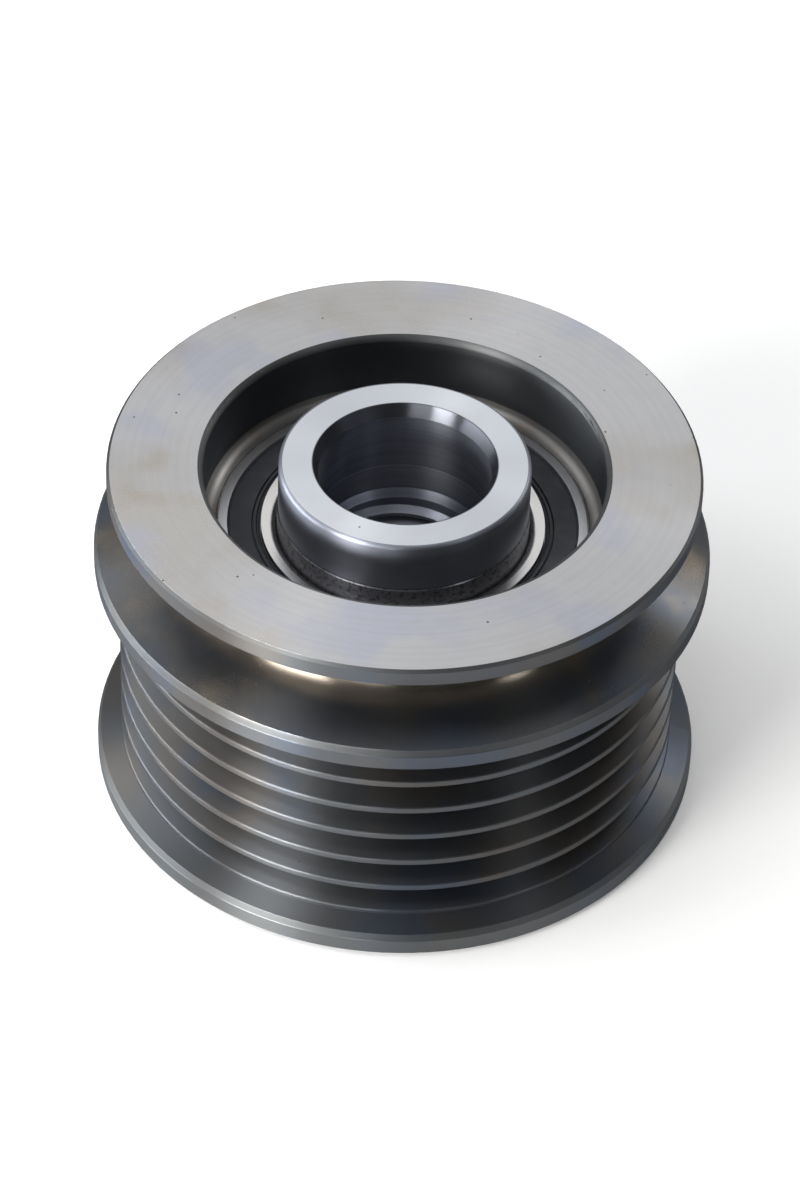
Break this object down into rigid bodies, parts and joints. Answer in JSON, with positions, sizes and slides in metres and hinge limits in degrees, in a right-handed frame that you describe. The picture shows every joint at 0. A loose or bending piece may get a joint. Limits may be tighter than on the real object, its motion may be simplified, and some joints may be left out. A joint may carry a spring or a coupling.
{
  "type": "alternator freewheel clutch",
  "caption": "Overrunning alternator pulley: steel rim with a V groove and ribbed belt grooves on sealed ball bearings, a threaded shaft sleeve and a roller freewheel inside.",
  "frame": {"origin": "on the axis of rotation, in the plane of the rim's front face, on which the part stands", "axes": "+Z along the axis of rotation from the front face towards the alternator; +X and +Y radial"},
  "size_m": [0.061, 0.061, 0.0378],
  "materials": {
    "rim_steel": "fine turned steel, satin, with faint stains",
    "sleeve_steel": "hardened and ground, bright face and dark polished side",
    "bearing_steel": "ground bearing steel",
    "ball_steel": "polished",
    "seal_rubber": "matt black moulded rubber",
    "seal_core_steel": "pressed sheet steel",
    "ball_cage_plastic": "moulded glass-filled polyamide",
    "clutch_cage_plastic": "moulded glass-filled polyamide",
    "clutch_steel": "hardened and ground",
    "roller_steel": "ground and polished",
    "spring_steel": "bright strip steel"
  },
  "bodies": {
    "hub": {"shaft_sleeve": "sleeve_steel", "rear_bearing_inner_ring": "bearing_steel", "front_bearing_inner_ring": "bearing_steel", "clutch_cam_ring": "clutch_steel", "clutch_cage": "clutch_cage_plastic", "clutch_springs": "spring_steel"},
    "pulley": {"pulley_rim": "rim_steel", "rear_bearing_outer_ring": "bearing_steel", "front_bearing_outer_ring": "bearing_steel", "rear_bearing_rear_seal": "seal_rubber", "rear_bearing_rear_seal_core": "seal_core_steel", "rear_bearing_clutch_seal": "seal_rubber", "rear_bearing_clutch_seal_core": "seal_core_steel", "front_bearing_front_seal": "seal_rubber", "front_bearing_front_seal_core": "seal_core_steel", "front_bearing_clutch_seal": "seal_rubber", "front_bearing_clutch_seal_core": "seal_core_steel", "clutch_outer_race": "clutch_steel"},
    "rear_ball_set": {"rear_bearing_balls": "ball_steel", "rear_bearing_cage": "ball_cage_plastic"},
    "front_ball_set": {"front_bearing_balls": "ball_steel", "front_bearing_cage": "ball_cage_plastic"},
    "roller_set": {"clutch_rollers": "roller_steel"}
  },
  "joints": [
    {"name": "pulley_spin", "type": "hinge", "parent": "hub", "child": "pulley", "pos_m": [0, 0, 0.0165], "axis": [0, 0, 1], "continuous": true},
    {"name": "rear_ball_set_spin", "type": "hinge", "parent": "hub", "child": "rear_ball_set", "pos_m": [0, 0, 0.0267], "axis": [0, 0, 1], "continuous": true},
    {"name": "front_ball_set_spin", "type": "hinge", "parent": "hub", "child": "front_ball_set", "pos_m": [0, 0, 0.0063], "axis": [0, 0, 1], "continuous": true},
    {"name": "roller_release", "type": "hinge", "parent": "hub", "child": "roller_set", "pos_m": [0, 0, 0.0165], "axis": [0, 0, 1], "range_deg": [-1.2, 0], "stiffness_Nm_per_rad": 0.2, "springref_deg": 1.15}
  ],
  "couplings": [
    {"joint": "rear_ball_set_spin", "follows": "pulley_spin", "ratio": 0.55645},
    {"joint": "front_ball_set_spin", "follows": "pulley_spin", "ratio": 0.55645}
  ]
}
